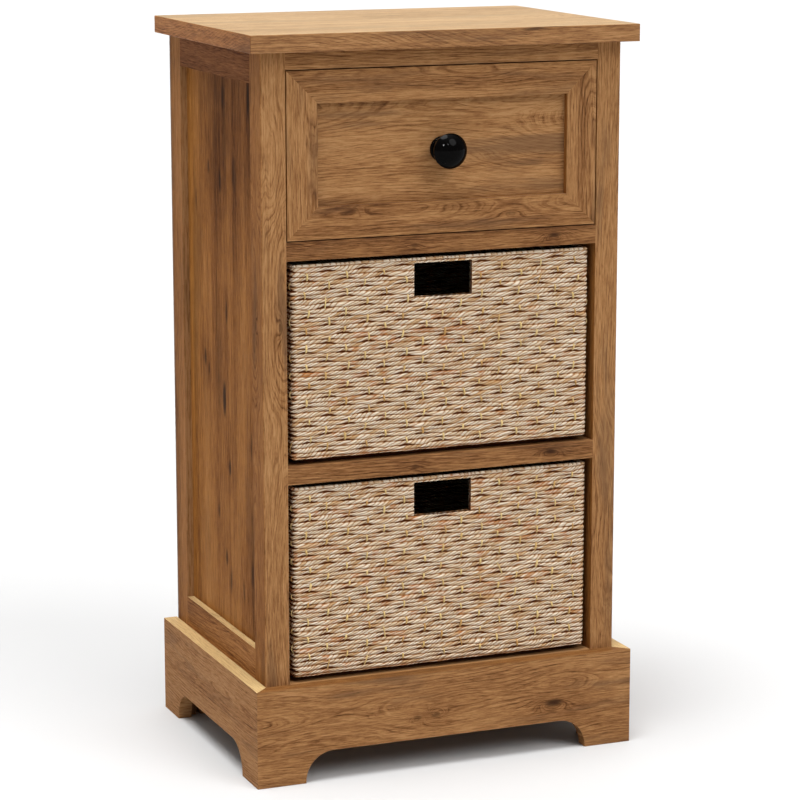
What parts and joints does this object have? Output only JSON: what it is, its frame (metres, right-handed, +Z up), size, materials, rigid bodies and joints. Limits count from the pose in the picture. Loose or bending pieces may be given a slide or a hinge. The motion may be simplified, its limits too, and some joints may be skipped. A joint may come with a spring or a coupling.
{
  "type": "bathroom storage cabinet",
  "caption": "Narrow free-standing cabinet on a bracket plinth: a drawer with a round knob on roller runners above open bays with woven pull-out baskets.",
  "frame": {"origin": "on the floor below the centre of the whole outline, knob included", "axes": "+Z up, -Y towards the front where the drawer opens, +X to the right of someone who faces the front"},
  "size_m": [0.4, 0.2994, 0.725],
  "materials": {
    "oak_finish": "satin oak-look finish with dark grain and knots",
    "back_hardboard": "matte brown hardboard",
    "drawer_board": "satin oak-look board",
    "dowel_wood": "plain beech",
    "runner_steel": "white epoxy coat on folded steel",
    "roller_nylon": "plain nylon",
    "axle_steel": "zinc plated",
    "screw_steel": "zinc plated",
    "black_gloss": "gloss black",
    "seagrass": "woven twisted seagrass rope with straw-yellow stitches",
    "basket_wire": "dark coated wire"
  },
  "bodies": {
    "cabinet": {"top_panel": "oak_finish", "front_post_left": "oak_finish", "front_post_right": "oak_finish", "rear_post_left": "oak_finish", "rear_post_right": "oak_finish", "side_top_rail_left": "oak_finish", "side_top_rail_right": "oak_finish", "side_bottom_rail_left": "oak_finish", "side_bottom_rail_right": "oak_finish", "side_panel_left": "oak_finish", "side_panel_right": "oak_finish", "top_front_rail": "oak_finish", "top_rear_rail": "oak_finish", "plinth_rear": "oak_finish", "bottom_shelf": "oak_finish", "middle_shelf": "oak_finish", "upper_shelf": "oak_finish", "plinth_front": "oak_finish", "plinth_left": "oak_finish", "plinth_right": "oak_finish", "back_panel": "back_hardboard", "runner_batten_left": "drawer_board", "runner_batten_right": "drawer_board", "case_dowels": "dowel_wood", "runner_channel_left": "runner_steel", "runner_channel_right": "runner_steel", "front_axle_left": "axle_steel", "front_axle_right": "axle_steel", "top_screws": "screw_steel", "back_nails": "screw_steel", "channel_screws": "screw_steel"},
    "drawer": {"drawer_front_panel": "oak_finish", "drawer_trim_top": "oak_finish", "drawer_trim_bottom": "oak_finish", "drawer_trim_left": "oak_finish", "drawer_trim_right": "oak_finish", "drawer_side_left": "drawer_board", "drawer_side_right": "drawer_board", "drawer_box_front": "drawer_board", "drawer_box_back": "drawer_board", "drawer_bottom": "drawer_board", "knob": "black_gloss", "knob_base": "black_gloss", "knob_screw": "screw_steel", "drawer_front_screws": "screw_steel", "runner_rider_left": "runner_steel", "runner_rider_right": "runner_steel", "rider_screws": "screw_steel", "rear_axle_left": "axle_steel", "rear_axle_right": "axle_steel"},
    "front_roller_left": {"front_roller_left": "roller_nylon"},
    "rear_roller_left": {"rear_roller_left": "roller_nylon"},
    "front_roller_right": {"front_roller_right": "roller_nylon"},
    "rear_roller_right": {"rear_roller_right": "roller_nylon"},
    "upper_basket": {"upper_basket_weave": "seagrass", "upper_basket_frame": "basket_wire"},
    "lower_basket": {"lower_basket_weave": "seagrass", "lower_basket_frame": "basket_wire"}
  },
  "joints": [
    {"name": "drawer_slide", "type": "slide", "parent": "cabinet", "child": "drawer", "axis": [0, -1, 0], "range_m": [0, 0.18]},
    {"name": "upper_basket_slide", "type": "slide", "parent": "cabinet", "child": "upper_basket", "axis": [0, -1, 0], "range_m": [0, 0.285]},
    {"name": "lower_basket_slide", "type": "slide", "parent": "cabinet", "child": "lower_basket", "axis": [0, -1, 0], "range_m": [0, 0.285]},
    {"name": "front_roller_left_spin", "type": "hinge", "parent": "cabinet", "child": "front_roller_left", "pos_m": [-0.1563, -0.09325, 0.5497], "axis": [1, 0, 0], "range_deg": [-10, 1260]},
    {"name": "rear_roller_left_spin", "type": "hinge", "parent": "drawer", "child": "rear_roller_left", "pos_m": [-0.1542, 0.12075, 0.547], "axis": [1, 0, 0], "range_deg": [-10, 1260]},
    {"name": "front_roller_right_spin", "type": "hinge", "parent": "cabinet", "child": "front_roller_right", "pos_m": [0.1563, -0.09325, 0.5497], "axis": [1, 0, 0], "range_deg": [-10, 1260]},
    {"name": "rear_roller_right_spin", "type": "hinge", "parent": "drawer", "child": "rear_roller_right", "pos_m": [0.1542, 0.12075, 0.547], "axis": [1, 0, 0], "range_deg": [-10, 1260]}
  ],
  "couplings": [
    {"joint": "front_roller_left_spin", "follows": "drawer_slide", "rad_per_m": 117.65},
    {"joint": "rear_roller_left_spin", "follows": "drawer_slide", "rad_per_m": 117.65},
    {"joint": "front_roller_right_spin", "follows": "drawer_slide", "rad_per_m": 117.65},
    {"joint": "rear_roller_right_spin", "follows": "drawer_slide", "rad_per_m": 117.65}
  ]
}
